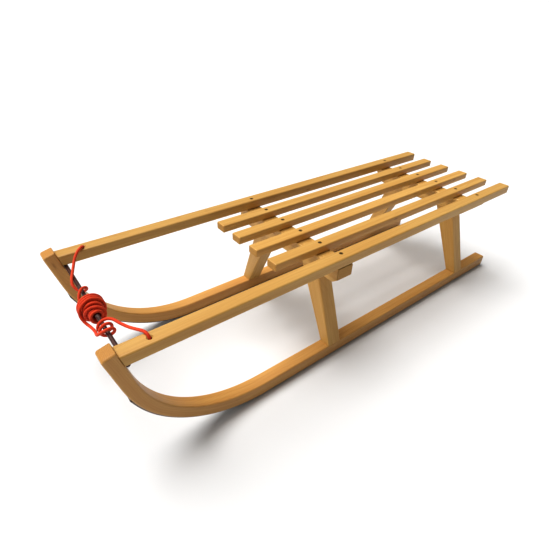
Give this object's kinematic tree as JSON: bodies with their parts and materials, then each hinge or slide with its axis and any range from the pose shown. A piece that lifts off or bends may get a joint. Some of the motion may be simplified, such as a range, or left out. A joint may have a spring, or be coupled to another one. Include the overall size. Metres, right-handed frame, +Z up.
{
  "type": "wooden runner sled",
  "caption": "Wooden runner sled with bent runners on steel shoes, splayed legs, cross beams, a slatted deck and a red pull cord wound on a steel bar between the curled tips.",
  "frame": {"origin": "on the ground, below the middle of the sled's length and width", "axes": "+X forward to the curled tips, +Y to the rider's left, +Z up"},
  "size_m": [1.0952, 0.3344, 0.268],
  "materials": {
    "bent_wood": "satin varnished bent hardwood, golden brown",
    "wood": "satin varnished hardwood, golden",
    "shoe_steel": "worn steel strip",
    "bar_steel": "dark lacquered steel",
    "screw_steel": "yellow passivated steel",
    "cord": "braided orange-red cord"
  },
  "bodies": {
    "root": {"runner_left": "bent_wood", "runner_right": "bent_wood", "leg_front_left": "wood", "leg_front_right": "wood", "leg_rear_left": "wood", "leg_rear_right": "wood", "cross_beam_front": "wood", "cross_beam_rear": "wood", "side_rail_left": "wood", "side_rail_right": "wood", "slat_1": "wood", "slat_2": "wood", "slat_3": "wood", "slat_4": "wood", "toe_dowels": "wood", "shoe_left": "shoe_steel", "shoe_right": "shoe_steel", "tow_bar": "bar_steel", "tow_bar_screws": "bar_steel", "shoe_screws": "screw_steel", "leg_screws": "screw_steel", "slat_screws_front": "screw_steel", "slat_screws_rear": "screw_steel", "rail_screws": "screw_steel", "cord_run_left": "cord", "cord_run_right": "cord", "cord_coil": "cord", "cord_knot_left": "cord", "cord_knot_right": "cord"}
  },
  "joints": []
}
